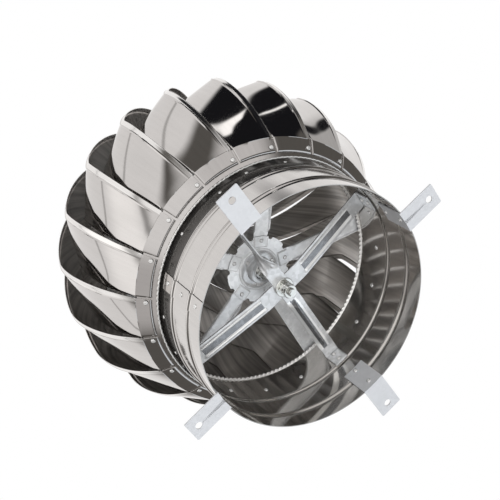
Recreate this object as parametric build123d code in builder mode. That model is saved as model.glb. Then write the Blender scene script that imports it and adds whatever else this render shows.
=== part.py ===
from build123d import *
from math import atan2, cos, degrees, hypot, pi, radians, sin, tan
import os

os.makedirs("parts", exist_ok=True)

# Throat: the round sheet duct that stands on the roof curb
throat_radius = 150.0
throat_height = 131.5
sheet = 1.0
bead_heights = (29.0, 69.0)
bead_depth = 2.5
bead_half_width = 4.0
hem_radius = 1.6
lap_start = 134.0
lap_arc = 7.5
seam_azimuth = 137.8
seam_rivet_heights = (14.0, 49.0, 84.0)
collar_rivet_height = 94.5
collar_rivet_pitch = 20.0

# Mounting tabs: four bent brackets under the rim
tab_azimuths = (0.0, 90.0, 180.0, 270.0)
tab_width = 30.0
tab_length = 49.0
tab_thickness = 1.5
tab_hole_radius = 4.5
tab_hole_reach = 37.0
tab_leg_height = 45.0
tab_rivet_heights = (10.0, 39.0)

# Braces: two ribbed strips that cross under the spindle
brace_width = 24.0
brace_thickness = 2.0
brace_centre_height = 75.0
brace_end_height = 96.0
brace_flat_reach = 30.0
brace_flange_length = 26.0
brace_rib_offset = 5.5
brace_rib_width = 3.2
brace_rib_depth = 1.6
twist_width = 20.0
brace_rivet_drops = (7.0, 19.0)

# Rivets
rivet_shank = 1.6
rivet_head = 2.9
rivet_head_height = 1.4
rivet_tail_height = 0.8
rivet_hole = rivet_shank + 0.2

# Spindle, nuts and washer
spindle_radius = 5.0
spindle_foot = 53.0
spindle_top = 364.0
nut_size = 16.0
nut_height = 8.0
jam_nut_height = 5.5
washer_radius = 11.5
washer_thickness = 1.8

# Bearings and their pressed cups
bearing_radius = 15.0
bearing_height = 9.0
race_inner_radius = 8.0
running_gap = 0.06
press_gap = 0.05
cup_sheet = 1.2
cup_flange_radius = 24.0
cup_rivet_radius = 20.0

# Spider: hub plate and five channel arms
hub_plate_height = 136.0
hub_plate_radius = 44.0
hub_bore_radius = 10.0
arm_count = 5
arm_phase = 4.0
arm_width = 21.0
arm_sheet = 1.2
arm_inner_reach = 30.0
arm_drop_reach = 160.0
arm_lip = 5.0
foot_width = 13.0
arm_rivet_radius = 38.0
arm_foot_rivet_radius = 166.5

# Rotor ring: the crimped lip and the cone that carries the blades
ring_lip_radius = 153.6
ring_lip_height = 100.7
ring_cone_start = 102.5
ring_top_radius = 173.0
ring_slope = 39.3
blade_rivet_radius = 163.4

# Blades
blade_count = 20
blade_sheet = 0.8
foot_rivet_side = 20.5
blade_lag = 7.2
blade_sweep = 34.0
sweep_start = 8.0
belly_centre_radius = 100.0
belly_centre_height = 238.0
belly_reach = 115.5
blade_top_radius = 111.8
inner_tuck = 26.0
waist = 0.6
hem_width = 7.0
hem_lift = 2.0
end_crease = 0.3

# Cap
cap_rim_radius = 113.0
cap_flat_radius = 34.0
cap_rise = 15.0
top_rivet_radius = 100.0

throat_bore = throat_radius - sheet
leg_radius = throat_bore - 0.3
blade_pitch = 360.0 / blade_count
half_pitch = blade_pitch / 2 - 0.3
cone_run = cos(radians(ring_slope))
cone_rise = sin(radians(ring_slope))
foot_spread = (hypot(blade_rivet_radius, foot_rivet_side) - blade_rivet_radius) * cone_rise


def cone_height(radius):
    """Height of the ring cone's lower face at a radius."""
    return ring_cone_start + (radius - ring_lip_radius - sheet) * tan(radians(ring_slope))


def wall_place(azimuth, height):
    """A place on the axis whose local Z runs outward at the azimuth."""
    return Rot(0, 0, azimuth) * Pos(0, 0, height) * Rot(0, 90, 0)


def cone_place(azimuth, radius):
    """A place on the cone's lower face whose local Z leaves the face downward."""
    spot = Pos(radius, 0, cone_height(radius))
    return Rot(0, 0, azimuth) * spot * Rot(0, 180 - ring_slope, 0)


def flat_place(azimuth, radius, height):
    """A place at an azimuth and radius whose local Z points up."""
    return Rot(0, 0, azimuth) * Pos(radius, 0, height)


def foot_place(azimuth):
    """The place of a blade's foot rivet, whose local Z leaves the foot downward."""
    return cone_place(azimuth - blade_lag, blade_rivet_radius) * Pos(0, foot_rivet_side, 0)


def rod(radius, start, end, mode=Mode.ADD):
    """A round rod on the rotor's axis from start to end."""
    with Locations((0, 0, (start + end) / 2)):
        Cylinder(radius, end - start, mode=mode)


def pin(radius, start, end, place, mode=Mode.ADD):
    """A small eight-sided pin along local Z from start to end."""
    with BuildSketch(Plane(place).offset(start)) as outline:
        RegularPolygon(radius, 8)
    extrude(outline.sketch, amount=end - start, mode=mode)


def rivet(head_face, tail_face, place):
    """A rivet whose head sits under head_face and whose tail is set on tail_face."""
    pin(rivet_head, head_face - rivet_head_height, head_face, place)
    pin(rivet_shank, head_face, tail_face, place)
    pin(rivet_head - 0.6, tail_face, tail_face + rivet_tail_height, place)


collar_azimuths = []
for step in range(round(360 / collar_rivet_pitch)):
    azimuth = step * collar_rivet_pitch
    if azimuth % 180:
        collar_azimuths.append(azimuth)
flange_azimuths = (0.0, 90.0, 270.0)
twist_flange_azimuth = 184.5
brace_rivet_places = []
for azimuth in flange_azimuths + (twist_flange_azimuth,):
    for drop in brace_rivet_drops:
        brace_rivet_places.append(wall_place(azimuth, brace_end_height - drop))
tab_rivet_places = []
for azimuth in tab_azimuths:
    for height in tab_rivet_heights:
        tab_rivet_places.append(wall_place(azimuth, height))

# Throat duct: one rolled sheet with two swaged beads, a hemmed top edge and a lapped seam
tube_points = [(0.0, tab_thickness)]
for bead in bead_heights:
    tube_points.append((0.0, bead - bead_half_width))
    tube_points.append((bead_depth, bead - 1.2))
    tube_points.append((bead_depth, bead + 1.2))
    tube_points.append((0.0, bead + bead_half_width))
tube_points.append((0.0, throat_height - hem_radius))


def tube_outline(inner, outer, last):
    """Closed section of the sheet between two radii, up to a number of stations."""
    rising = [(inner + x, z) for x, z in tube_points[:last]]
    falling = [(outer + x, z) for x, z in reversed(tube_points[:last])]
    return rising + falling


with BuildPart() as throat_duct:
    with BuildSketch(Plane.XZ):
        with BuildLine():
            Polyline(tube_outline(throat_bore, throat_radius, 10), close=True)
        make_face()
        with Locations((throat_radius + 0.4, throat_height - hem_radius)):
            RegularPolygon(hem_radius, 8)
    revolve(axis=Axis.Z)
    with BuildSketch(Plane.XZ.rotated((0, 0, lap_start))):
        with BuildLine():
            Polyline(tube_outline(throat_radius - 0.1, throat_radius + sheet, 9), close=True)
        make_face()
    revolve(axis=Axis.Z, revolution_arc=lap_arc)
    for place in tab_rivet_places + brace_rivet_places:
        pin(rivet_hole, throat_bore - 5, throat_radius + 5, place, Mode.SUBTRACT)
    for azimuth in collar_azimuths:
        hole_place = wall_place(azimuth, collar_rivet_height)
        pin(rivet_hole, throat_bore - 5, throat_radius + 5, hole_place, Mode.SUBTRACT)
    for height in seam_rivet_heights:
        hole_place = wall_place(seam_azimuth, height)
        pin(rivet_hole, throat_bore - 5, throat_radius + 5, hole_place, Mode.SUBTRACT)
throat_duct.part.label = "throat_duct"
export_step(throat_duct.part, "parts/throat_duct.step")

# Mounting tab: a galvanised angle with its leg inside the wall and its plate under the rim
with BuildPart() as mounting_tab:
    with BuildSketch(Plane.XY):
        with Locations((leg_radius - tab_thickness, 0)):
            Rectangle(tab_length + throat_radius - leg_radius + tab_thickness, tab_width,
                      align=(Align.MIN, Align.CENTER))
        with Locations((throat_radius + tab_hole_reach, 0)):
            Circle(tab_hole_radius, mode=Mode.SUBTRACT)
    extrude(amount=tab_thickness)
    with BuildSketch(Plane.XY):
        Circle(leg_radius)
        Circle(leg_radius - tab_thickness, mode=Mode.SUBTRACT)
        with Locations((throat_bore, 0)):
            Rectangle(20, tab_width, mode=Mode.INTERSECT)
    extrude(amount=tab_leg_height)
    upright_edges = mounting_tab.edges().filter_by(Axis.Z).sort_by(Axis.X)[-2:]
    fillet(upright_edges, radius=1.5)
    for height in tab_rivet_heights:
        pin(rivet_hole, throat_bore - 9, throat_radius, wall_place(0, height), Mode.SUBTRACT)
for number, azimuth in enumerate(tab_azimuths, start=1):
    placed_tab = Rot(0, 0, azimuth) * mounting_tab.part
    placed_tab.label = f"mounting_tab_{number}"
    export_step(placed_tab, f"parts/mounting_tab_{number}.step")

with BuildPart() as tab_rivets:
    for place in tab_rivet_places:
        rivet(leg_radius - tab_thickness - 0.05, throat_radius + 0.05, place)
tab_rivets.part.label = "tab_rivets"
export_step(tab_rivets.part, "parts/tab_rivets.step")

with BuildPart() as collar_rivets:
    for azimuth in collar_azimuths:
        rivet(throat_bore - 0.05, throat_radius + 0.05, wall_place(azimuth, collar_rivet_height))
collar_rivets.part.label = "collar_rivets"
export_step(collar_rivets.part, "parts/collar_rivets.step")

with BuildPart() as seam_rivets:
    for height in seam_rivet_heights:
        rivet(throat_bore - 0.05, throat_radius + sheet + 0.05, wall_place(seam_azimuth, height))
seam_rivets.part.label = "seam_rivets"
export_step(seam_rivets.part, "parts/seam_rivets.step")

# Flat brace: a strip dished toward the mouth, with two pressed ribs on each half
end_reach = leg_radius - brace_thickness
end_top = brace_end_height
strip_side = [
    (-end_reach, end_top),
    (-brace_flat_reach, brace_centre_height + brace_thickness),
    (brace_flat_reach, brace_centre_height + brace_thickness),
    (end_reach, end_top),
    (end_reach, end_top - brace_thickness),
    (brace_flat_reach, brace_centre_height),
    (-brace_flat_reach, brace_centre_height),
    (-end_reach, end_top - brace_thickness),
]
rib_start = brace_flat_reach + 2.0
rib_end = 125.0


def strip_underside(reach):
    """Height of the strip's underside at a distance from the axis."""
    rise = (reach - brace_flat_reach) / (end_reach - brace_flat_reach)
    return brace_centre_height + rise * (end_top - brace_thickness - brace_centre_height)


def rib_side(direction):
    """Side outline of one rib on the mouth side of the strip."""
    return [
        (direction * rib_start, strip_underside(rib_start) + 0.5),
        (direction * rib_end, strip_underside(rib_end) + 0.5),
        (direction * (rib_end - 2), strip_underside(rib_end) - brace_rib_depth),
        (direction * (rib_start + 2), strip_underside(rib_start) - brace_rib_depth),
    ]


with BuildPart() as brace_flat:
    with BuildSketch(Plane.YZ):
        with BuildLine():
            Polyline(strip_side, close=True)
        make_face()
    extrude(amount=brace_width / 2, both=True)
    for direction in (-1, 1):
        for offset in (-brace_rib_offset, brace_rib_offset):
            with BuildSketch(Plane.YZ.offset(offset)):
                with BuildLine():
                    Polyline(rib_side(direction), close=True)
                make_face()
            extrude(amount=brace_rib_width / 2, both=True)
        with BuildSketch(Plane.XY.offset(end_top - brace_flange_length)):
            Circle(leg_radius)
            Circle(leg_radius - brace_thickness, mode=Mode.SUBTRACT)
            with Locations((0, direction * throat_bore)):
                Rectangle(brace_width, 20, mode=Mode.INTERSECT)
        extrude(amount=brace_flange_length)
    rod(spindle_radius + 0.2, brace_centre_height - 1, brace_centre_height + 3, Mode.SUBTRACT)
    for azimuth in flange_azimuths[1:]:
        for drop in brace_rivet_drops:
            hole_place = wall_place(azimuth, end_top - drop)
            pin(rivet_hole, throat_bore - 9, throat_radius, hole_place, Mode.SUBTRACT)
brace_flat.part.label = "brace_flat"
export_step(brace_flat.part, "parts/brace_flat.step")

# Twisted brace: flat and ribbed on one half, turned on edge on the other
lower_drop = brace_thickness
with BuildPart() as brace_twisted:
    with BuildSketch(Plane.XZ):
        with BuildLine():
            Polyline(
                (-22, brace_centre_height),
                (brace_flat_reach, brace_centre_height),
                (end_reach, end_top),
                (end_reach, end_top - brace_thickness),
                (brace_flat_reach, brace_centre_height - lower_drop),
                (-22, brace_centre_height - lower_drop),
                close=True,
            )
        make_face()
    extrude(amount=twist_width / 2, both=True)
    for offset in (-brace_rib_offset + 1, brace_rib_offset - 1):
        with BuildSketch(Plane.XZ.offset(offset)):
            with BuildLine():
                Polyline([(x, z - lower_drop) for x, z in rib_side(1)], close=True)
            make_face()
        extrude(amount=brace_rib_width / 2, both=True)
    for reach, turn, height in ((22, 0, 0), (35, 30, 0.8), (48, 70, 5), (60, 90, 9)):
        middle = brace_centre_height - lower_drop / 2 + height
        section_plane = Plane(origin=(-reach, 0, middle), x_dir=(0, 1, 0), z_dir=(-1, 0, 0))
        with BuildSketch(section_plane):
            Rectangle(twist_width, brace_thickness, rotation=turn)
    loft()
    with BuildSketch(Plane.XZ):
        with BuildLine():
            Polyline(
                (-59.9, brace_centre_height + 8 - twist_width / 2),
                (-59.9, brace_centre_height + 8 + twist_width / 2),
                (-end_reach, brace_end_height),
                (-end_reach, brace_end_height - twist_width),
                close=True,
            )
        make_face()
    extrude(amount=brace_thickness / 2, both=True)
    with BuildSketch(Plane.XY.offset(end_top - brace_flange_length)):
        Circle(leg_radius)
        Circle(leg_radius - brace_thickness, mode=Mode.SUBTRACT)
        with Locations((throat_bore, 0)):
            Rectangle(20, twist_width, mode=Mode.INTERSECT)
    extrude(amount=brace_flange_length)
    with BuildSketch(Plane.XY.offset(end_top - brace_flange_length)):
        Circle(leg_radius)
        Circle(leg_radius - brace_thickness, mode=Mode.SUBTRACT)
        with Locations((-throat_bore, -8.5)):
            Rectangle(20, 20, mode=Mode.INTERSECT)
    extrude(amount=brace_flange_length)
    rod(spindle_radius + 0.2, brace_centre_height - 6, brace_centre_height + 3, Mode.SUBTRACT)
    for azimuth in (flange_azimuths[0], twist_flange_azimuth):
        for drop in brace_rivet_drops:
            hole_place = wall_place(azimuth, end_top - drop)
            pin(rivet_hole, throat_bore - 9, throat_radius, hole_place, Mode.SUBTRACT)
brace_twisted.part.label = "brace_twisted"
export_step(brace_twisted.part, "parts/brace_twisted.step")

with BuildPart() as brace_rivets:
    for place in brace_rivet_places:
        rivet(leg_radius - brace_thickness - 0.05, throat_radius + 0.05, place)
brace_rivets.part.label = "brace_rivets"
export_step(brace_rivets.part, "parts/brace_rivets.step")

# Spindle: the fixed threaded rod on the rotor's axis
with BuildPart() as spindle:
    rod(spindle_radius, spindle_foot, spindle_top)
    chamfer(spindle.edges().filter_by(GeomType.CIRCLE), length=0.8)
spindle.part.label = "spindle"
export_step(spindle.part, "parts/spindle.step")

bearing_low = hub_plate_height - cup_sheet - bearing_height
cap_plate_height = 351.0
cap_flat_height = cap_plate_height + cap_rise
upper_bearing_low = cap_flat_height - sheet - cup_sheet - 18.0
clamp_washer_foot = brace_centre_height - lower_drop - washer_thickness
clamp_nut_foot = clamp_washer_foot - nut_height
jam_nut_foot = clamp_nut_foot - jam_nut_height
spindle_bore = spindle_radius + 0.05

with BuildPart() as clamp_washer:
    with BuildSketch(Plane.XY.offset(clamp_washer_foot)):
        Circle(washer_radius)
        Circle(spindle_bore, mode=Mode.SUBTRACT)
    extrude(amount=washer_thickness)
clamp_washer.part.label = "clamp_washer"
export_step(clamp_washer.part, "parts/clamp_washer.step")

nut_spans = {
    "clamp_nut": (clamp_nut_foot, nut_height),
    "jam_nut": (jam_nut_foot, jam_nut_height),
    "brace_nut": (brace_centre_height + brace_thickness, nut_height),
    "hub_nut": (bearing_low - nut_height, nut_height),
    "top_nut": (upper_bearing_low + bearing_height, jam_nut_height),
}
for name, (foot, height) in nut_spans.items():
    with BuildPart() as nut:
        with BuildSketch(Plane.XY.offset(foot)):
            RegularPolygon(nut_size / 2, 6, major_radius=False)
            Circle(spindle_bore, mode=Mode.SUBTRACT)
        extrude(amount=height)
    nut.part.label = name
    export_step(nut.part, f"parts/{name}.step")

# Sealed bearings: the inner ring stays on the spindle, the outer ring and its seals turn
for name, foot in (("lower", bearing_low), ("upper", upper_bearing_low)):
    with BuildPart() as inner_ring:
        with BuildSketch(Plane.XY.offset(foot)):
            Circle(race_inner_radius)
            Circle(spindle_bore, mode=Mode.SUBTRACT)
        extrude(amount=bearing_height)
    inner_ring.part.label = f"{name}_inner_ring"
    export_step(inner_ring.part, f"parts/{name}_inner_ring.step")

    seal_radius = race_inner_radius + running_gap
    with BuildPart() as outer_ring:
        with BuildSketch(Plane.XZ):
            with BuildLine():
                Polyline(
                    (seal_radius, foot),
                    (bearing_radius, foot),
                    (bearing_radius, foot + bearing_height),
                    (seal_radius, foot + bearing_height),
                    (seal_radius, foot + bearing_height - 0.8),
                    (bearing_radius - 3, foot + bearing_height - 0.8),
                    (bearing_radius - 3, foot + 0.8),
                    (seal_radius, foot + 0.8),
                    close=True,
                )
            make_face()
        revolve(axis=Axis.Z)
    outer_ring.part.label = f"{name}_outer_ring"
    export_step(outer_ring.part, f"parts/{name}_outer_ring.step")

# Bearing cups: pressed housings that hang under the hub plate and under the cap
cup_bore = bearing_radius + press_gap
cup_rivet_places = []
for name, flange_top, floor in (
    ("lower", hub_plate_height, bearing_low),
    ("upper", cap_flat_height - sheet, upper_bearing_low),
):
    with BuildPart() as bearing_cup:
        with BuildSketch(Plane.XZ):
            with BuildLine():
                Polyline(
                    (hub_bore_radius, floor - cup_sheet),
                    (cup_bore + cup_sheet, floor - cup_sheet),
                    (cup_bore + cup_sheet, flange_top - cup_sheet),
                    (cup_flange_radius, flange_top - cup_sheet),
                    (cup_flange_radius, flange_top),
                    (cup_bore, flange_top),
                    (cup_bore, floor),
                    (hub_bore_radius, floor),
                    close=True,
                )
            make_face()
        revolve(axis=Axis.Z)
        for azimuth in (40, 160, 280):
            place = flat_place(azimuth, cup_rivet_radius, flange_top)
            cup_rivet_places.append(place)
            pin(rivet_hole, -3, 3, place, Mode.SUBTRACT)
    bearing_cup.part.label = f"{name}_bearing_cup"
    export_step(bearing_cup.part, f"parts/{name}_bearing_cup.step")

with BuildPart() as cup_rivets:
    for place in cup_rivet_places:
        rivet(-cup_sheet - 0.05, 1.25, place)
cup_rivets.part.label = "cup_rivets"
export_step(cup_rivets.part, "parts/cup_rivets.step")

# Hub plate: a stamped disc with a scalloped edge between the arms
arm_azimuths = [arm_phase + step * 360 / arm_count for step in range(arm_count)]
with BuildPart() as hub_plate:
    with BuildSketch(Plane.XY.offset(hub_plate_height)):
        Circle(hub_plate_radius)
        Circle(hub_bore_radius, mode=Mode.SUBTRACT)
        for azimuth in arm_azimuths:
            with Locations(Rot(0, 0, azimuth + 180 / arm_count) * Pos(hub_plate_radius + 5, 0)):
                Circle(9, mode=Mode.SUBTRACT)
    extrude(amount=arm_sheet)
    for place in cup_rivet_places[:3]:
        pin(rivet_hole, -3, 3, place, Mode.SUBTRACT)
    for azimuth in arm_azimuths:
        place = flat_place(azimuth, arm_rivet_radius, hub_plate_height)
        pin(rivet_hole, -3, 3, place, Mode.SUBTRACT)
hub_plate.part.label = "hub_plate"
export_step(hub_plate.part, "parts/hub_plate.step")

# Spider arm: a channel strip whose outer end drops and lies on the ring cone
web_foot = hub_plate_height + arm_sheet
cone_top_gap = sheet / cone_run + 0.35
foot_end = 171.0


def foot_underside(radius):
    """Height of the arm foot's underside above the cone."""
    return cone_height(radius) + cone_top_gap


foot_thick = arm_sheet / cone_run
with BuildPart() as spider_arm:
    with BuildSketch(Plane.XY.offset(web_foot)):
        with Locations((arm_inner_reach, 0)):
            Rectangle(arm_drop_reach - arm_inner_reach, arm_width, align=(Align.MIN, Align.CENTER))
    extrude(amount=arm_sheet)
    inner_corners = spider_arm.edges().filter_by(Axis.Z).sort_by(Axis.X)[:2]
    fillet(inner_corners, radius=5)
    for side in (-1, 1):
        lip_middle = side * (arm_width - arm_sheet) / 2
        with BuildSketch(Plane.XZ.offset(-lip_middle)):
            with BuildLine():
                Polyline(
                    (hub_plate_radius + 3, web_foot + 0.5),
                    (arm_drop_reach, web_foot + 0.5),
                    (arm_drop_reach, web_foot - 2),
                    (arm_drop_reach - 8, web_foot - arm_lip),
                    (hub_plate_radius + 9, web_foot - arm_lip),
                    close=True,
                )
            make_face()
        extrude(amount=arm_sheet / 2, both=True)
    with BuildSketch(Plane.XZ):
        with BuildLine():
            Polyline(
                (arm_drop_reach - 4, web_foot),
                (arm_drop_reach - 4, web_foot + arm_sheet),
                (arm_drop_reach + arm_sheet, web_foot + arm_sheet),
                (arm_drop_reach + arm_sheet, foot_underside(arm_drop_reach + arm_sheet) + foot_thick),
                (foot_end, foot_underside(foot_end) + foot_thick),
                (foot_end, foot_underside(foot_end)),
                (arm_drop_reach, foot_underside(arm_drop_reach)),
                (arm_drop_reach, web_foot),
                close=True,
            )
        make_face()
    extrude(amount=foot_width / 2, both=True)
    pin(rivet_hole, -5, 5, flat_place(0, arm_rivet_radius, web_foot), Mode.SUBTRACT)
    pin(rivet_hole, -6, 1, cone_place(0, arm_foot_rivet_radius), Mode.SUBTRACT)
for number, azimuth in enumerate(arm_azimuths, start=1):
    placed_arm = Rot(0, 0, azimuth) * spider_arm.part
    placed_arm.label = f"spider_arm_{number}"
    export_step(placed_arm, f"parts/spider_arm_{number}.step")

with BuildPart() as arm_rivets:
    for azimuth in arm_azimuths:
        hub_place = flat_place(azimuth, arm_rivet_radius, hub_plate_height)
        rivet(-0.05, 2 * arm_sheet + 0.05, hub_place)
        cone_spot = cone_place(azimuth, arm_foot_rivet_radius)
        pin(rivet_shank, -3.6, -0.1, cone_spot)
        pin(rivet_head, -3.6, -2.65, cone_spot)
arm_rivets.part.label = "arm_rivets"
export_step(arm_rivets.part, "parts/arm_rivets.step")

# Rotor ring: a lip around the throat and a cone that the blades are riveted to
cone_thick = sheet / cone_run
blade_azimuths = [step * blade_pitch for step in range(blade_count)]
with BuildPart() as rotor_ring:
    with BuildSketch(Plane.XZ):
        with BuildLine():
            Polyline(
                (ring_lip_radius, ring_lip_height),
                (ring_lip_radius + sheet, ring_lip_height),
                (ring_lip_radius + sheet, ring_cone_start),
                (ring_top_radius, cone_height(ring_top_radius)),
                (ring_top_radius, cone_height(ring_top_radius) + cone_thick),
                (ring_lip_radius, cone_height(ring_lip_radius) + cone_thick),
                close=True,
            )
        make_face()
        with Locations((ring_lip_radius + 0.9, ring_lip_height + 0.2)):
            RegularPolygon(1.5, 8)
    revolve(axis=Axis.Z)
    for azimuth in blade_azimuths:
        pin(rivet_hole, -4, 4, foot_place(azimuth), Mode.SUBTRACT)
    for azimuth in arm_azimuths:
        pin(rivet_hole, -4, 4, cone_place(azimuth, arm_foot_rivet_radius), Mode.SUBTRACT)
rotor_ring.part.label = "rotor_ring"
export_step(rotor_ring.part, "parts/rotor_ring.step")

# Blade: a strip bent to a scoop that lies flat on the cone, swells to the belly and sweeps
# forward as it turns in under the cap. Its hemmed edge stands proud and its other edge tucks in.
tab_gap = 0.1
low_radius = ring_top_radius + 1.4
low_height = cone_height(low_radius) - (tab_gap + blade_sheet / 2) / cone_run
low_reach = hypot(low_radius - belly_centre_radius, low_height - belly_centre_height)
low_angle = degrees(atan2(low_height - belly_centre_height, low_radius - belly_centre_radius))
top_height = cap_plate_height - blade_sheet / 2 - end_crease - 0.1
top_reach = hypot(blade_top_radius - belly_centre_radius, top_height - belly_centre_height)
top_angle = degrees(atan2(top_height - belly_centre_height, blade_top_radius - belly_centre_radius))
blade_stations = 13
tab_inner_radius = 158.5
top_tab_inner_radius = 94.0


def blade_place(angle):
    """The place of a blade's section: at the belly centre, facing up at an angle, swept round."""
    climb = max(0.0, (angle - sweep_start) / (top_angle - sweep_start))
    centre = Pos(belly_centre_radius, 0, belly_centre_height)
    return Rot(0, 0, blade_sweep * climb**1.3) * centre * Rot(0, -angle, 0)


def blade_section(share):
    """Angle and closed outline of the blade at a share of its length from the foot."""
    angle = low_angle + share * (top_angle - low_angle)
    end_angle, end_reach = (low_angle, low_reach) if angle < 0 else (top_angle, top_reach)
    reach = belly_reach + (end_reach - belly_reach) * (angle / end_angle) ** 2.5
    swell = sin(pi * share)
    radius = belly_centre_radius + reach * cos(radians(angle))
    half_width = radius * tan(radians(half_pitch - waist * swell))
    hem_drop = inner_tuck * swell * hem_width / (2 * half_width)
    middle_line = [
        (reach - inner_tuck * swell, -half_width),
        (reach - hem_drop + hem_lift * swell + end_crease, half_width - hem_width),
        (reach, half_width),
    ]
    outer = [(x + blade_sheet / 2, y) for x, y in middle_line]
    inner = [(x - blade_sheet / 2, y) for x, y in reversed(middle_line)]
    return angle, outer + inner


def tab_half_width(radius):
    """Half the width of a blade's end tab at a radius."""
    return radius * tan(radians(half_pitch)) - 0.6


with BuildPart() as blade:
    for station in range(blade_stations):
        angle, outline = blade_section(station / (blade_stations - 1))
        with BuildSketch(Plane(blade_place(angle))):
            with BuildLine():
                Polyline(outline, close=True)
            make_face()
    loft(ruled=True)
    with BuildSketch(Plane(cone_place(0, blade_rivet_radius)).offset(tab_gap)):
        with BuildLine():
            outer_x = -(low_radius + 0.4 - blade_rivet_radius) / cone_run
            inner_x = (blade_rivet_radius - tab_inner_radius) / cone_run
            Polyline(
                (outer_x, tab_half_width(low_radius)),
                (inner_x, tab_half_width(tab_inner_radius)),
                (inner_x, -tab_half_width(tab_inner_radius)),
                (outer_x, -tab_half_width(low_radius)),
                close=True,
            )
        make_face()
    extrude(amount=blade_sheet)
    with BuildSketch(Plane(Rot(0, 0, blade_sweep) * Pos(0, 0, top_height - blade_sheet / 2))):
        with BuildLine():
            Polyline(
                (top_tab_inner_radius, -tab_half_width(top_tab_inner_radius)),
                (blade_top_radius + 0.8, -tab_half_width(blade_top_radius)),
                (blade_top_radius + 0.8, tab_half_width(blade_top_radius)),
                (top_tab_inner_radius, tab_half_width(top_tab_inner_radius)),
                close=True,
            )
        make_face()
    extrude(amount=blade_sheet)
    pin(rivet_hole, -2, 3, foot_place(blade_lag), Mode.SUBTRACT)
    top_place = flat_place(blade_sweep, top_rivet_radius, cap_plate_height)
    pin(rivet_hole, -3, 3, top_place, Mode.SUBTRACT)
for number, azimuth in enumerate(blade_azimuths, start=1):
    placed_blade = Rot(0, 0, azimuth - blade_lag) * blade.part
    placed_blade.label = f"blade_{number:02d}"
    export_step(placed_blade, f"parts/blade_{number:02d}.step")

with BuildPart() as blade_foot_rivets:
    for azimuth in blade_azimuths:
        place = foot_place(azimuth) * Rot(180, 0, 0)
        rivet(-tab_gap - blade_sheet - 0.05, foot_spread + sheet + 0.35, place)
blade_foot_rivets.part.label = "blade_foot_rivets"
export_step(blade_foot_rivets.part, "parts/blade_foot_rivets.step")

top_rivet_azimuths = [azimuth - blade_lag + blade_sweep for azimuth in blade_azimuths]
top_tail_face = cap_plate_height + sheet - top_height + blade_sheet / 2 + 0.05
with BuildPart() as blade_top_rivets:
    for azimuth in top_rivet_azimuths:
        place = flat_place(azimuth, top_rivet_radius, cap_plate_height + sheet) * Rot(180, 0, 0)
        rivet(-0.05, top_tail_face, place)
blade_top_rivets.part.label = "blade_top_rivets"
export_step(blade_top_rivets.part, "parts/blade_top_rivets.step")

# Cap: a shallow pressed dome with a flat centre for the upper bearing cup
dome_foot_radius = 88.0
dome_middle = (cap_flat_radius + dome_foot_radius) / 2
with BuildPart() as cap:
    with BuildSketch(Plane.XZ):
        with BuildLine():
            Polyline(
                (cap_flat_radius, cap_flat_height - sheet),
                (0, cap_flat_height - sheet),
                (0, cap_flat_height),
                (cap_flat_radius, cap_flat_height),
            )
            ThreePointArc(
                (cap_flat_radius, cap_flat_height),
                (dome_middle, cap_flat_height - 0.35 * cap_rise),
                (dome_foot_radius, cap_plate_height + sheet),
            )
            Polyline(
                (dome_foot_radius, cap_plate_height + sheet),
                (cap_rim_radius, cap_plate_height + sheet),
                (cap_rim_radius, cap_plate_height),
                (dome_foot_radius, cap_plate_height),
            )
            ThreePointArc(
                (dome_foot_radius, cap_plate_height),
                (dome_middle, cap_flat_height - 0.35 * cap_rise - sheet),
                (cap_flat_radius, cap_flat_height - sheet),
            )
        make_face()
    revolve(axis=Axis.Z)
    for azimuth in top_rivet_azimuths:
        place = flat_place(azimuth, top_rivet_radius, cap_plate_height)
        pin(rivet_hole, -3, 3, place, Mode.SUBTRACT)
    for place in cup_rivet_places[3:]:
        pin(rivet_hole, -3, 3, place, Mode.SUBTRACT)
cap.part.label = "cap"
export_step(cap.part, "parts/cap.step")
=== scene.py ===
from math import atan2, cos, degrees, hypot, pi, radians, sin, tan
import bpy
from mathutils import Matrix, Vector


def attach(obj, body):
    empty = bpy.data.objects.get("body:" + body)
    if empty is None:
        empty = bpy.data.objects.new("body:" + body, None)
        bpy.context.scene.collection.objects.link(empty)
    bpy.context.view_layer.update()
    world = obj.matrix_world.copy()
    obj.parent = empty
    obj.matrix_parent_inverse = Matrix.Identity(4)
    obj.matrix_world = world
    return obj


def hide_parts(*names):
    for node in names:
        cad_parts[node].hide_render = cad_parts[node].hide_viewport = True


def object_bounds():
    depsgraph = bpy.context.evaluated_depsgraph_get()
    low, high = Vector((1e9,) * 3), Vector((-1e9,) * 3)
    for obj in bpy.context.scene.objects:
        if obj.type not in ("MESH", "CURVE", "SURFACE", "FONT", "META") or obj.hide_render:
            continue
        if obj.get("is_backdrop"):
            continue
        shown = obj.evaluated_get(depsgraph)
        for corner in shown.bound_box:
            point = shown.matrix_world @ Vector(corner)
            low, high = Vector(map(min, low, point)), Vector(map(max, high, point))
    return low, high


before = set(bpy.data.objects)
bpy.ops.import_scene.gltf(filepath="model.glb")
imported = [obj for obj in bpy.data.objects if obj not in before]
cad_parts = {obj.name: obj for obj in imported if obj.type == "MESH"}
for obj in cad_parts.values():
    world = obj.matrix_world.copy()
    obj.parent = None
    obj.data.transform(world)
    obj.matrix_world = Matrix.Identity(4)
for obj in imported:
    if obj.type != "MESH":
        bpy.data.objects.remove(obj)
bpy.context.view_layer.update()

# The throat is one sheet of polished stainless rolled into a tube. Two beads are swaged
# outward to stiffen it, the top edge is crimped over, and the seam is lapped and riveted.
MM = 0.001
BLOTCH_SCALE, GRAIN_SCALE, CRYSTAL_SCALE = 22.0, 900.0, 210.0
STREAKS_ROUND, STREAK_RISE = 240.0, 9.0
GRAIN_DEPTH, WAVE_DEPTH = 0.1, 4.0


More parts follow.
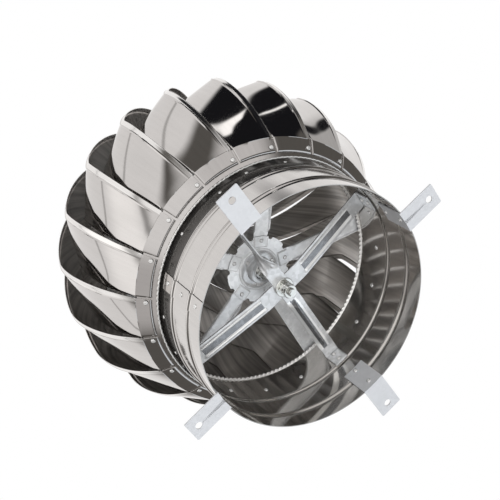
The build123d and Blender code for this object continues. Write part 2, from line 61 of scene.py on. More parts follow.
def shaded(nodes, links, colour, pattern, depth, low=0.0, high=1.0):
    """The colour, darkened by up to the depth as a pattern falls from high to low."""
    shade = nodes.new("ShaderNodeMapRange")
    shade.inputs["From Min"].default_value = low
    shade.inputs["From Max"].default_value = high
    shade.inputs["To Min"].default_value = 1.0 - depth
    shade.inputs["To Max"].default_value = 1.0
    links.new(pattern, shade.inputs["Value"])
    darker = nodes.new("ShaderNodeVectorMath")
    darker.operation = "SCALE"
    links.new(colour, darker.inputs["Vector"])
    links.new(shade.outputs["Result"], darker.inputs["Scale"])
    return darker.outputs["Vector"]


def times(nodes, links, value, factor):
    """A value multiplied by a fixed factor."""
    product = nodes.new("ShaderNodeMath")
    product.operation = "MULTIPLY"
    product.inputs[1].default_value = factor
    links.new(value, product.inputs[0])
    return product.outputs["Value"]


def noise(nodes, links, vector, scale, detail):
    """Cloudy noise over a vector."""
    cloud = nodes.new("ShaderNodeTexNoise")
    cloud.inputs["Scale"].default_value = scale
    cloud.inputs["Detail"].default_value = detail
    links.new(vector, cloud.inputs["Vector"])
    return cloud.outputs["Fac"]


def rolled_lines(nodes, links, vector):
    """Fine lines along the sheet's height, spaced round the axis, as rolling leaves them."""
    round_axis = nodes.new("ShaderNodeTexGradient")
    round_axis.gradient_type = "RADIAL"
    links.new(vector, round_axis.inputs["Vector"])
    height = nodes.new("ShaderNodeSeparateXYZ")
    links.new(vector, height.inputs["Vector"])
    along = nodes.new("ShaderNodeCombineXYZ")
    links.new(times(nodes, links, round_axis.outputs["Fac"], STREAKS_ROUND), along.inputs["X"])
    links.new(times(nodes, links, height.outputs["Z"], STREAK_RISE), along.inputs["Z"])
    return noise(nodes, links, along.outputs["Vector"], 1.0, 2.0)


def metal(name, colour, roughness, grain=0.03, wave=0.0, wave_size=8.0, grime=0.1,
          metallic=1.0, streak=0.0, spangle=0.0):
    """Sheet metal: uneven polish, fine grain, slow waves, rolling streaks, or the zinc's crystals."""
    mat = bpy.data.materials.new(name)
    mat.use_nodes = True
    nodes, links = mat.node_tree.nodes, mat.node_tree.links
    shader = nodes["Principled BSDF"]
    shader.inputs["Metallic"].default_value = metallic
    place = nodes.new("ShaderNodeTexCoord").outputs["Object"]
    blotch = noise(nodes, links, place, BLOTCH_SCALE, 5.0)
    tint = nodes.new("ShaderNodeMixRGB")
    tint.inputs["Color1"].default_value = (*[c * (1 - grime) for c in colour], 1)
    tint.inputs["Color2"].default_value = (*colour, 1)
    links.new(blotch, tint.inputs["Fac"])
    surface = tint.outputs["Color"]
    if spangle:
        crystals = nodes.new("ShaderNodeTexVoronoi")
        crystals.inputs["Scale"].default_value = CRYSTAL_SCALE
        links.new(place, crystals.inputs["Vector"])
        facets = nodes.new("ShaderNodeSeparateColor")
        links.new(crystals.outputs["Color"], facets.inputs["Color"])
        surface = shaded(nodes, links, surface, facets.outputs["Red"], spangle)
    if streak:
        surface = shaded(nodes, links, surface, rolled_lines(nodes, links, place), streak, 0.3, 0.7)
    links.new(surface, shader.inputs["Base Color"])
    polish = nodes.new("ShaderNodeMapRange")
    polish.inputs["To Min"].default_value = roughness * 0.75
    polish.inputs["To Max"].default_value = roughness * 1.3
    links.new(blotch, polish.inputs["Value"])
    links.new(polish.outputs["Result"], shader.inputs["Roughness"])
    grain_bump = nodes.new("ShaderNodeBump")
    grain_bump.inputs["Strength"].default_value = grain
    grain_bump.inputs["Distance"].default_value = GRAIN_DEPTH * MM
    links.new(noise(nodes, links, place, GRAIN_SCALE, 2.0), grain_bump.inputs["Height"])
    wave_bump = nodes.new("ShaderNodeBump")
    wave_bump.inputs["Strength"].default_value = wave
    wave_bump.inputs["Distance"].default_value = WAVE_DEPTH * MM
    links.new(noise(nodes, links, place, wave_size, 1.0), wave_bump.inputs["Height"])
    links.new(grain_bump.outputs["Normal"], wave_bump.inputs["Normal"])
    links.new(wave_bump.outputs["Normal"], shader.inputs["Normal"])
    return mat


def grid(name, rows, material, round_rows=False, round_columns=False, sharp=35, thick=0.0):
    """A smooth mesh through rows of points in millimetres, closed round either way if asked."""
    count, width = len(rows), len(rows[0])
    points = [Vector(p) * MM for row in rows for p in row]
    faces = []
    for i in range(count if round_rows else count - 1):
        for j in range(width if round_columns else width - 1):
            i2, j2 = (i + 1) % count, (j + 1) % width
            faces.append((i * width + j, i * width + j2, i2 * width + j2, i2 * width + j))
    mesh = bpy.data.meshes.new(name)
    mesh.from_pydata(points, [], faces)
    mesh.materials.append(material)
    mesh.shade_smooth()
    piece = bpy.data.objects.new(name, mesh)
    bpy.context.collection.objects.link(piece)
    if thick:
        wall = piece.modifiers.new("wall", "SOLIDIFY")
        wall.thickness = thick * MM
        wall.offset = 0
    mesh.set_sharp_from_angle(angle=radians(sharp))
    return piece


def turned(name, outline, material, steps=256, ripple=None, start=0.0, sweep=360.0, sharp=35):
    """An outline of (radius, height) turned round the axis; ripple(angle, r, z) moves a point."""
    whole = sweep == 360.0
    rows = []
    for step in range(steps if whole else steps + 1):
        angle = radians(start + sweep * step / steps)
        row = []
        for r, z in outline:
            if ripple:
                r, z = ripple(angle, r, z)
            row.append((r * cos(angle), r * sin(angle), z))
        rows.append(row)
    return grid(name, rows, material, round_rows=whole, round_columns=True, sharp=sharp)


def joined(name, pieces):
    """Several meshes made into one piece."""
    bpy.ops.object.select_all(action="DESELECT")
    for piece in pieces:
        piece.select_set(True)
    bpy.context.view_layer.objects.active = pieces[0]
    bpy.ops.object.join()
    pieces[0].name = name
    return pieces[0]


polished = metal("mirror_sheet", (0.66, 0.64, 0.625), 0.10, grain=0.01, wave=0.05, wave_size=9.0,
                 streak=0.04)
# A darker, browner copy of the sheet with a smoother polish: painted shade inside the tube.
wall_inside = metal("wall_inside", (0.60, 0.578, 0.55), 0.07, grain=0.0, wave=0.04, wave_size=7.0,
                    grime=0.25, metallic=0.96)
# A near-black copy of the sheet: painted shade on the outer neck under the ring.
painted_neck_shade = metal("painted_neck_shade", (0.11, 0.105, 0.10), 0.16, grain=0.0, wave=0.02, grime=0.3, metallic=0.7)
# A near-white copy of the sheet: painted highlight on the crimped edges.
painted_edge_highlight = metal("painted_edge_highlight", (0.95, 0.94, 0.92), 0.24, grain=0.05, metallic=0.7)
THROAT_OUT, THROAT_IN = 150.0, 149.0
THROAT_FOOT, THROAT_TOP = 1.6, 131.3
BEADS, BEAD_HALF, BEAD_PUSH = (29.0, 69.0), 4.5, 2.4
EDGE_START, NIP_START, NIP_DEPTH, CRIMPS = 127.0, 127.5, 1.4, 150
NECK_START = 75.0
ROW_STEP, LAST_ROW = 0.9, 126.8
LAP_TOP, LAP_START, LAP_SWEEP, LAP_SHEET = 96.5, 134.0, 7.5, 0.95


def bead(z):
    """How far the swaged beads push the sheet out at a height."""
    push = 0.0
    for centre in BEADS:
        gap = abs(z - centre)
        if gap < BEAD_HALF:
            push += BEAD_PUSH * cos(gap / BEAD_HALF * pi / 2) ** 2
    return push


def crimp(angle, r, z):
    """The crimping tool's regular nips along the turned-over top edge."""
    if z > NIP_START:
        nip = 0.5 + 0.5 * cos(CRIMPS * angle)
        r -= NIP_DEPTH * nip * min(1, (z - NIP_START) / 1.5)
    return r, z


heights = [THROAT_FOOT + k * ROW_STEP for k in range(int((LAST_ROW - THROAT_FOOT) / ROW_STEP) + 1)]
outline = [(THROAT_IN + bead(z), z) for z in heights]
outline += [(THROAT_IN - 0.9, 127.4), (THROAT_IN - 1.7, 128.8), (THROAT_IN - 1.5, 130.3)]
outline += [(THROAT_IN - 0.5, THROAT_TOP), (THROAT_OUT + 0.7, THROAT_TOP)]
outline += [(THROAT_OUT + 1.6, 130.6), (THROAT_OUT + 1.9, 129.4), (THROAT_OUT + 1.4, 128.0)]
outline += [(THROAT_OUT + bead(z), z) for z in reversed(heights)]
tube = turned("throat", outline, polished, steps=1200, ripple=crimp)
lap_heights = [z for z in heights if z < LAP_TOP]
lap = [(THROAT_OUT + bead(z) + 0.05, z) for z in lap_heights]
lap += [(THROAT_OUT + bead(z) + LAP_SHEET, z) for z in reversed(lap_heights)]
lap_sheet = turned("lap", lap, polished, steps=16, start=LAP_START, sweep=LAP_SWEEP)
throat = joined("throat_sheet", [tube, lap_sheet])
# The inside is a darker, browner copy of the sheet as painted shade, with a smoother polish of its own. The
# outer neck under the ring is painted near black as shade, and the crimped edge near white as a highlight.
# All are set by face.
for finish in (wall_inside, painted_neck_shade, painted_edge_highlight):
    throat.data.materials.append(finish)
for face in throat.data.polygons:
    radius, height = hypot(face.center.x, face.center.y) / MM, face.center.z / MM
    if height > EDGE_START:
        face.material_index = 3
    elif radius < THROAT_IN + 0.5 + bead(height):
        face.material_index = 1
    elif height > NECK_START and radius < THROAT_OUT + 0.5:
        face.material_index = 2
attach(throat, "base")
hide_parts("throat_duct")

# Pop rivets of bright steel: a low domed head with the pulled mandrel's pit in the middle
# on one side, and the small upset tail on the other.
rivet_steel = metal("rivet_steel", (0.90, 0.90, 0.89), 0.20, grain=0.05, grime=0.2, metallic=0.7)
HEAD, SHANK, TAIL = 2.9, 1.5, 2.2
COLLAR_Z, SEAM_ANGLE, SEAM_HEIGHTS = 94.5, 137.8, (14, 49, 84)


def placed(azimuth, radius, height, tilt):
    """A place at an azimuth whose local Z leans from the vertical outward by the tilt."""
    turn = Matrix.Rotation(radians(azimuth), 4, "Z")
    lean = Matrix.Rotation(radians(tilt), 4, "Y")
    return turn @ Matrix.Translation((radius, 0, height)) @ lean


def rivet_set(name, node, body, places, grip):
    """Rivets whose heads sit on each place's local Z = 0 and whose tails close on the grip below."""
    outline = [(0.001, 0.5), (0.7, 0.5), (0.95, 1.25), (1.5, 1.4), (2.3, 1.05), (HEAD, 0.15), (HEAD, 0.02)]
    outline += [(SHANK, 0.0), (SHANK, -grip), (TAIL, -grip - 0.05), (TAIL - 0.3, -grip - 0.6)]
    outline += [(1.2, -grip - 0.8), (0.001, -grip - 0.8)]
    points, faces, steps = [], [], 20
    for place in places:
        first = len(points)
        for step in range(steps):
            angle = 2 * pi * step / steps
            for r, z in outline:
                points.append(place @ Vector((r * cos(angle), r * sin(angle), z)) * MM)
        for step in range(steps):
            a, b = first + step * len(outline), first + (step + 1) % steps * len(outline)
            for k in range(len(outline) - 1):
                faces.append((a + k, a + k + 1, b + k + 1, b + k))
    mesh = bpy.data.meshes.new(name)
    mesh.from_pydata(points, [], faces)
    mesh.materials.append(rivet_steel)
    mesh.shade_smooth()
    mesh.set_sharp_from_angle(angle=radians(50))
    piece = bpy.data.objects.new(name, mesh)
    bpy.context.collection.objects.link(piece)
    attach(piece, body)
    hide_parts(node)


rivet_set("throat_ring_of_rivets", "collar_rivets", "base",
          [placed(20 * k, THROAT_IN, COLLAR_Z, -90) for k in range(18) if k % 9], 1.0)
rivet_set("seam_rivet_row", "seam_rivets", "base",
          [placed(SEAM_ANGLE, THROAT_OUT + LAP_SHEET, z, 90) for z in SEAM_HEIGHTS], 1.9)

# Four galvanised strips bent to an angle. The leg is riveted inside the wall and the
# plate runs out under the rim, with one round hole for the roof screw.
tab_zinc = metal("tab_zinc", (0.60, 0.61, 0.63), 0.45, grain=0.12, grime=0.08, metallic=0.3, spangle=0.05)
for number in range(1, 5):
    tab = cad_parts[f"mounting_tab_{number}"]
    tab.data.materials.clear()
    tab.data.materials.append(tab_zinc)
TAB_RIVET_RADIUS, TAB_RIVET_HEIGHTS = 147.15, (10, 39)
rivet_set("tab_rivet_pairs", "tab_rivets", "base",
          [placed(90 * k, TAB_RIVET_RADIUS, z, -90) for k in range(4) for z in TAB_RIVET_HEIGHTS], 2.8)

# Two galvanised strips that cross the throat and carry the spindle, with their ends folded
# and riveted to the wall. One has two pressed ribs on each half. The other turns on edge on
# one half and is folded to a gutter on the other.
# The ribs are painted paler as a highlight and the channel between them painted darker as shade, each as a
# zinc of its own.
strip_zinc = metal("strip_zinc", (0.84, 0.85, 0.86), 0.20, grain=0.05, wave=0.10, wave_size=40.0, grime=0.3,
                   metallic=0.6, spangle=0.22)
# A paler copy of the zinc: painted highlight on the ribs.
rib_highlight_zinc = metal("rib_highlight_zinc", (0.96, 0.97, 0.97), 0.15, grain=0.03, metallic=0.6)
# A darker copy of the zinc: painted shade in the channel and the gutter.
groove_shade_zinc = metal("groove_shade_zinc", (0.40, 0.41, 0.43), 0.24, grain=0.05, grime=0.3, metallic=0.8,
                    spangle=0.3)
BRACE_LOW, BRACE_HIGH, FLAT_REACH, WALL_REACH = 75.0, 96.0, 30.0, 146.7
STRIP_SHEET, STRIP_HALF = 1.9, 12
RIB_DEPTH, RIB_HALF, RIB_REACH, STRAIGHT_RIB, TWISTED_RIB = 2.1, 2.6, 126, 7.0, 4.5
END_RADIUS, END_SHEET, END_DROP = 147.7, 1.8, 26


def strip_height(x):
    """Underside of the dished strip at a distance from the axis."""
    climb = (BRACE_HIGH - 2 - BRACE_LOW) / (WALL_REACH - FLAT_REACH)
    return BRACE_LOW + max(0, abs(x) - FLAT_REACH) * climb


def rib(x, y, offset):
    """How far the two pressed ribs, at an offset each side, stand below the strip."""
    along = min(1, max(0, (abs(x) - FLAT_REACH - 1) / 4)) * min(1, max(0, (RIB_REACH - abs(x)) / 4))
    depth = 0.0
    for line in (-offset, offset):
        gap = abs(y - line)
        if gap < RIB_HALF:
            depth = RIB_DEPTH * cos(gap / RIB_HALF * pi / 2) ** 2
    return along * depth


def spread(low, high, count):
    """Evenly spaced values from low to high."""
    return [low + (high - low) * k / (count - 1) for k in range(count)]


def ease(value, low, high):
    """Eases from 0 at low up to 1 at high."""
    t = min(1.0, max(0.0, (value - low) / (high - low)))
    return t * t * (3 - 2 * t)


def walls_made(sheets):
    """The same sheets with their thickness made real, so that they can be joined."""
    for sheet in sheets:
        bpy.context.view_layer.objects.active = sheet
        bpy.ops.object.modifier_apply(modifier="wall")
    return sheets


rows = []
for x in spread(-WALL_REACH, WALL_REACH, 180):
    across = spread(-STRIP_HALF, STRIP_HALF, 49)
    rows.append([(y, x, strip_height(x) + 1 - rib(x, y, STRAIGHT_RIB)) for y in across])
strip = grid("strip", rows, strip_zinc, thick=STRIP_SHEET)
strip.data.materials.append(groove_shade_zinc)
strip.data.materials.append(rib_highlight_zinc)
# Between the ribs the strip is painted dark as shade, and on the ribs paler as a highlight.
for face in strip.data.polygons:
    from_middle, out_along = abs(face.center.x) / MM, abs(face.center.y) / MM
    if FLAT_REACH + 4 < out_along < RIB_REACH - 2:
        face.material_index = 1 if from_middle < 5.0 else 2 if from_middle < 7.6 else 0
ends = []
for side in (-1, 1):
    rows = []
    for z in spread(BRACE_HIGH - END_DROP, BRACE_HIGH - 0.2, 12):
        angles = spread(radians(-4.65), radians(4.65), 12)
        rows.append([(END_RADIUS * sin(a), side * END_RADIUS * cos(a), z) for a in angles])
    ends.append(grid("end", rows, strip_zinc, thick=END_SHEET))
brace_a = joined("straight_brace", walls_made([strip] + ends))
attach(brace_a, "base")
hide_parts("brace_flat")

GUTTER_TURN, GUTTER_DEPTH = 28.0, 4.0
TWIST_START, TWIST_END, TWISTED_HALF = 22, 60, 9.9
rows = []
for x in spread(-WALL_REACH, WALL_REACH, 240):
    if x < -TWIST_END:
        climb = (BRACE_HIGH - 10 - BRACE_LOW - 8) / (WALL_REACH - TWIST_END)
        middle = BRACE_LOW + 8 + (-x - TWIST_END) * climb
    elif x < -TWIST_START:
        middle = BRACE_LOW - 1 + 9 * ((-x - TWIST_START) / (TWIST_END - TWIST_START)) ** 2
    else:
        middle = strip_height(x) - 1
    if x > 0:
        turn = radians(GUTTER_TURN) * min(ease(x, 14, 44), 1 - ease(x, 104, 134))
        fold = min(ease(x, 16, 34), 1 - ease(x, 112, 134))
    else:
        turn = ease(-x, TWIST_START, TWIST_END) * pi / 2
    row = []
    for y in spread(-TWISTED_HALF, TWISTED_HALF, 41):
        if x > 0:
            push = fold * GUTTER_DEPTH * (1 - abs(y) / TWISTED_HALF)
        else:
            push = rib(x, y, TWISTED_RIB) * 0.3
        row.append((x, y * cos(turn) + push * sin(turn), middle + y * sin(turn) - push * cos(turn)))
    rows.append(row)
strip = grid("strip", rows, strip_zinc, thick=STRIP_SHEET)
ends = []
for side, low, high in ((1, -3.85, 3.85), (-1, 0.0, 7.1)):
    rows = []
    for z in spread(BRACE_HIGH - END_DROP, BRACE_HIGH - 0.2, 12):
        angles = spread(radians(low), radians(high), 12)
        rows.append([(side * END_RADIUS * cos(a), side * END_RADIUS * sin(a), z) for a in angles])
    ends.append(grid("end", rows, strip_zinc, thick=END_SHEET))
walls_made([strip] + ends)
strip.data.materials.append(groove_shade_zinc)
strip.data.materials.append(rib_highlight_zinc)
# On the gutter half, the middle band is painted dark as shade and the bands beside it paler as a highlight.
for face in strip.data.polygons:
    x, y = face.center.x / MM, face.center.y / MM
    if 22 < x < 128 and y > -3.4:
        face.material_index = 1 if -0.6 < y < 5.6 else 2
brace_b = joined("twisted_strip", [strip] + ends)
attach(brace_b, "base")
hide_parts("brace_twisted")
END_ANGLES, END_RIVET_RADIUS, END_RIVET_DROPS = (0, 90, 270, 184.5), 146.65, (7, 19)
places = [placed(a, END_RIVET_RADIUS, BRACE_HIGH - d, -90) for a in END_ANGLES for d in END_RIVET_DROPS]
rivet_set("brace_end_rivets", "brace_rivets", "base", places, 3.3)

# A zinc plated threaded rod, clamped to the braces between nuts with a flat washer and a
# locking nut below. The nuts are hexagonal with turned corners.
zinc = metal("zinc_plate", (0.90, 0.91, 0.88), 0.16, grain=0.04, grime=0.15, metallic=0.95)
ROD, PITCH, THREAD_DEPTH = 4.95, 1.5, 0.55
ROD_FOOT, ROD_TOP, ROD_ROWS, ROD_SIDES = 53.2, 363.6, 720, 24
rows = []
for z in spread(ROD_FOOT, ROD_TOP, ROD_ROWS):
    row = []
    for k in range(ROD_SIDES):
        angle = 2 * pi * k / ROD_SIDES
        turn = (z / PITCH - k / ROD_SIDES) % 1
        radius = ROD - THREAD_DEPTH * abs(2 * turn - 1)
        row.append((radius * cos(angle), radius * sin(angle), z))
    rows.append(row)
rows = [[(0, 0, ROD_FOOT)] * ROD_SIDES] + rows + [[(0, 0, ROD_TOP)] * ROD_SIDES]
rod = grid("threaded_rod", rows, zinc, round_columns=True, sharp=60)
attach(rod, "base")
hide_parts("spindle")

NUT_BORE, NUT_FACE, NUT_FLAT, NUT_CORNER = 5.1, 7.9, 7.95, 9.3


def hex_nut(name, node, foot, height):
    """A hexagon nut 15.9 mm across its flats with turned corners."""
    lower = [(0, NUT_BORE), (0.02, NUT_FACE), (1.0, NUT_CORNER)]
    rows = []
    for z, limit in lower + [(height - z, limit) for z, limit in reversed(lower)]:
        row = []
        for k in range(144):
            angle = 2 * pi * k / 144
            flat = NUT_FLAT / cos((angle % (pi / 3)) - pi / 6)
            r = min(flat, limit)
            row.append((r * cos(angle), r * sin(angle), foot + z))
        rows.append(row)
    piece = grid(name, rows, zinc, round_rows=True, round_columns=True, sharp=28)
    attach(piece, "base")
    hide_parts(node)


hex_nut("clamping_nut", "clamp_nut", 63.2, 8)
hex_nut("locking_nut", "jam_nut", 57.7, 5.5)
hex_nut("nut_above_braces", "brace_nut", 77, 8)
hex_nut("nut_below_hub", "hub_nut", 117.8, 8)
hex_nut("nut_under_cap", "top_nut", 354.8, 5.5)
outline = [(5.1, 71.3), (11.6, 71.25), (12.2, 71.7), (12.2, 72.5), (11.6, 72.95), (5.1, 72.95)]
washer = turned("flat_washer", outline, zinc, steps=96)
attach(washer, "base")
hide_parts("clamp_washer")

# Two sealed ball bearings turn on the spindle in pressed steel cups. The lower cup is
# riveted under the hub plate and the upper one under the cap.
bearing_steel = metal("bearing_steel", (0.62, 0.62, 0.62), 0.15, grime=0.2)
for name in ("lower_inner_ring", "upper_inner_ring", "lower_outer_ring", "upper_outer_ring"):
    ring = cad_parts[name]
    ring.data.materials.clear()
    ring.data.materials.append(bearing_steel)
HUB_Z, CAP_Z = 136.0, 365.0
for name, floor_z, top_z in (("lower", 125.8, HUB_Z), ("upper", 345.8, CAP_Z)):
    outline = [(10.2, floor_z - 1.1), (14.6, floor_z - 1.1), (15.8, floor_z - 0.6), (16.2, floor_z + 0.6)]
    outline += [(16.2, top_z - 2.2), (17.0, top_z - 1.3), (23.2, top_z - 1.1), (23.9, top_z - 0.6)]
    outline += [(23.9, top_z - 0.05), (16.4, top_z - 0.05), (15.1, top_z - 0.9)]
    outline += [(15.1, floor_z - 0.02), (10.2, floor_z - 0.02)]
    cup = turned(f"{name}_cup", outline, strip_zinc, steps=128)
    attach(cup, "rotor")
    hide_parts(f"{name}_bearing_cup")
rivet_set("cup_rivet_sets", "cup_rivets", "rotor",
          [placed(a, 20, top - 1.2, 180) for top in (HUB_Z, CAP_Z) for a in (40, 160, 280)], 2.4)

# A stamped disc of galvanised steel with a pressed bead and a pad for each of the five
# channel arms. Each arm runs out over the throat, drops, and is riveted to the rotor ring.
# The hub and arms are the braces' galvanised steel, painted paler and less metallic as light falling on
# them.
hub_zinc = metal("hub_zinc", (0.93, 0.94, 0.95), 0.22, grain=0.05, wave=0.08, wave_size=45.0, grime=0.25,
                 metallic=0.35, spangle=0.18)
ARMS, ARM_PHASE = 5, 4.0
HUB_BORE, HUB_RADIUS = 10.2, 43.8
BEAD_RADIUS, BEAD_RISE, PAD_RISE, SCALLOP = 26.0, 1.5, 1.7, 3.2
rows = []
for r in spread(HUB_BORE, HUB_RADIUS, 90):
    row = []
    for k in range(720):
        angle = 2 * pi * k / 720
        off = (angle - radians(ARM_PHASE) + pi / ARMS) % (2 * pi / ARMS) - pi / ARMS
        along, side = r * cos(off), abs(r * sin(off))
        pad = ease(along, 28.5, 30.5) * (1 - ease(side, 8.0, 10.0))
        rim = r - SCALLOP * ease(r, 36, HUB_RADIUS) * (1 - ease(abs(side - 14), 1.5, 4))
        raised = BEAD_RISE * max(0.0, 1 - ((r - BEAD_RADIUS) / 1.6) ** 2)
        row.append((rim * cos(angle), rim * sin(angle), HUB_Z + 0.6 - PAD_RISE * pad - raised))
    rows.append(row)
disc = grid("hub_disc", rows, hub_zinc, round_columns=True, thick=1.1)
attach(disc, "rotor")
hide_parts("hub_plate")

CONE_SLOPE = 39.3
RING_LIP, CONE_START, SLOPE = 153.6, 102.5, radians(CONE_SLOPE)


def cone_z(r):
    """Height of the ring cone's lower face."""
    return CONE_START + (r - RING_LIP - 1) * tan(SLOPE)


def turned_by(point, degrees_round):
    """A point in millimetres turned round the axis."""
    x, y, z = point
    a = radians(degrees_round)
    return (x * cos(a) - y * sin(a), x * sin(a) + y * cos(a), z)


WEB, ARM_START, ARM_END, ARM_HALF = HUB_Z + 1.8, 30, 160.4, 9.9
LIP_DEPTH, FOOT_DROP, FOOT_LIFT, FOOT_END = 4.4, 160.6, 2.45, 171
for number in range(ARMS):
    azimuth = ARM_PHASE + 360 / ARMS * number
    rows = []
    for x in spread(ARM_START, ARM_END, 90):
        end = min(1, (x - ARM_START) / 5)
        half = ARM_HALF * (0.62 + 0.38 * (1 - (1 - end) ** 2) ** 0.5)
        lip = LIP_DEPTH * min(1, max(0, (x - 47) / 6)) * min(1, max(0.3, (163 - x) / 8))
        bend = 0.3 if lip > 0 else 0.0
        side = [(half, WEB - bend), (half, WEB - lip * 0.5), (half, WEB - lip)]
        section = [(-y, z) for y, z in reversed(side)]
        section += [(y, WEB) for y in spread(-half + 0.4, half - 0.4, 20)] + side
        rows.append([turned_by((x, y, z), azimuth) for y, z in section])
    web = grid("web", rows, hub_zinc, thick=1.1)
    foot_path = [(156, WEB), (160.0, WEB), (FOOT_DROP, WEB - 0.8), (FOOT_DROP, cone_z(FOOT_DROP) + 2.9)]
    foot_path += [(161.4, cone_z(161.4) + FOOT_LIFT), (FOOT_END, cone_z(FOOT_END) + FOOT_LIFT)]
    rows = [[turned_by((x, y, z), azimuth) for y in spread(-6.4, 6.4, 8)] for x, z in foot_path]
    foot = grid("foot", rows, hub_zinc, thick=1.1)
    arm = joined(f"channel_arm_{number + 1}", walls_made([web, foot]))
    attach(arm, "rotor")
    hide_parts(f"spider_arm_{number + 1}")
HUB_RIVET, FOOT_RIVET, FOOT_RIVET_LIFT = 38, 166.5, 2.65
places = []
for number in range(ARMS):
    azimuth = ARM_PHASE + 360 / ARMS * number
    places.append(placed(azimuth, HUB_RIVET, HUB_Z - PAD_RISE, 180))
for number in range(ARMS):
    azimuth = ARM_PHASE + 360 / ARMS * number
    rise, inward = FOOT_RIVET_LIFT * cos(SLOPE), FOOT_RIVET_LIFT * sin(SLOPE)
    places.append(placed(azimuth, FOOT_RIVET - inward, cone_z(FOOT_RIVET) + rise, -CONE_SLOPE))
rivet_set("arm_rivet_set", "arm_rivets", "rotor", places, 1.7)

# A spun ring of polished stainless: a crimped lip round the throat and a cone above it
# that the blades' feet are riveted to.
LIP_NIP, LIP_TOP, RING_SHEET = 0.4, 101.9, 1.2
CONE_RADII = (158, 162, 166, 170, 172.9)


def lip_crimp(angle, r, z):
    """Regular nips of the crimping wheel along the lip."""
    if z < LIP_TOP:
        r -= LIP_NIP * (0.5 + 0.5 * cos(CRIMPS * angle))
    return r, z


outline = [(RING_LIP + 0.1, 100.5), (RING_LIP - 0.1, 99.6), (RING_LIP + 0.7, 99.1), (RING_LIP + 1.6, 99.4)]
outline += [(RING_LIP + 1.8, 100.4), (RING_LIP + 1.1, 101.3), (RING_LIP + 1.0, CONE_START)]
outline += [(r, cone_z(r)) for r in CONE_RADII]
outline += [(r, cone_z(r) + RING_SHEET) for r in (*reversed(CONE_RADII), RING_LIP + 1.0)]
outline += [(RING_LIP + 0.05, cone_z(RING_LIP) + 1.0), (RING_LIP + 0.05, 101.3)]
ring = turned("crimped_ring", outline, polished, steps=1200, ripple=lip_crimp)
ring.data.materials.append(painted_edge_highlight)
# The crimped lip takes the same painted highlight as the throat's edge, a near-white copy of the sheet.
for face in ring.data.polygons:
    if face.center.z < 101.6 * MM:
        face.material_index = 1
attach(ring, "rotor")
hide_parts("rotor_ring")

# Twenty scoops cut from mirror polished stainless sheet. Each foot lies flat on the ring
# and the top turns in under the cap; the proud edge is hemmed back on itself. The outside is
# bright, and the inside is given a satin finish with drawn streaks.
BLADES, BELLY_R, BELLY_Z = 20, 100.0, 238.0
HALF_PITCH, WAIST = 360 / BLADES / 2 - 0.3, 0.6
BLADE_LAG, BLADE_SWEEP, SWEEP_START = 7.2, 34.0, 8.0
BLADE_SHEET, FOOT_GAP, FOOT_INNER = 0.75, 0.5, 158.6
LOW_R, TOP_R, TOP_Z, TOP_INNER = 174.4, 111.8, 350.2, 94.1
LOW_Z = cone_z(LOW_R) - FOOT_GAP / cos(SLOPE)
BELLY_REACH, TUCK, UNDERLAP = 115.5, 26.0, 6.0
HEM, HEM_LIFT, HEM_BEAD, HEM_START = 7.0, 1.6, 1.3, 0.90
LOW_REACH = hypot(LOW_R - BELLY_R, LOW_Z - BELLY_Z)
LOW_ANGLE = degrees(atan2(LOW_Z - BELLY_Z, LOW_R - BELLY_R))
TOP_REACH = hypot(TOP_R - BELLY_R, TOP_Z - BELLY_Z)
TOP_ANGLE = degrees(atan2(TOP_Z - BELLY_Z, TOP_R - BELLY_R))
TAB_ROWS, SCOOP_ROWS = 6, 72
blade_steel = metal("blade_sheet", (0.63, 0.61, 0.597), 0.06, grain=0.008, wave=0.05, wave_size=12.0,
                    streak=0.05)
blade_inside = metal("blade_inside", (0.64, 0.612, 0.585), 0.33, grain=0.0, wave=0.06, wave_size=14.0,
                     grime=0.3, metallic=0.97, streak=0.5)
# A paler copy of the blade sheet: painted highlight on the hem.
hem_highlight_steel = metal("hem_edge_highlight", (0.84, 0.825, 0.81), 0.12, grain=0.01, wave=0.03)


def blade_point(share, across):
    """A point of the blade: share runs up from the foot, across from tucked to proud edge."""
    angle = LOW_ANGLE + share * (TOP_ANGLE - LOW_ANGLE)
    end_angle, end_reach = (LOW_ANGLE, LOW_REACH) if angle < 0 else (TOP_ANGLE, TOP_REACH)
    reach = BELLY_REACH + (end_reach - BELLY_REACH) * (angle / end_angle) ** 2.5
    swell = sin(pi * share)
    half = (BELLY_R + reach * cos(radians(angle))) * tan(radians(HALF_PITCH - WAIST * swell))
    wide = 2 * half + UNDERLAP * swell
    y = half - wide * (1 - across)
    reach -= TUCK * swell * (1 - across)
    fold = 1 - HEM / wide
    face = across / fold if across < fold else (1 - across) / (1 - fold)
    reach += (HEM_LIFT * swell + 0.3) * sin(face * pi / 2) ** 1.5
    reach += HEM_BEAD * swell * max(0, 1 - abs(half - y - HEM) / HEM_BEAD)
    climb = max(0.0, (angle - SWEEP_START) / (TOP_ANGLE - SWEEP_START))
    radius = BELLY_R + reach * cos(radians(angle))
    round_foot = 1 - ease(share, 0.0, 0.14)
    drawn_in = 1 - round_foot * (1 - radius / hypot(radius, y))
    point = (radius * drawn_in, y * drawn_in, BELLY_Z + reach * sin(radians(angle)))
    return turned_by(point, BLADE_SWEEP * climb**1.3)


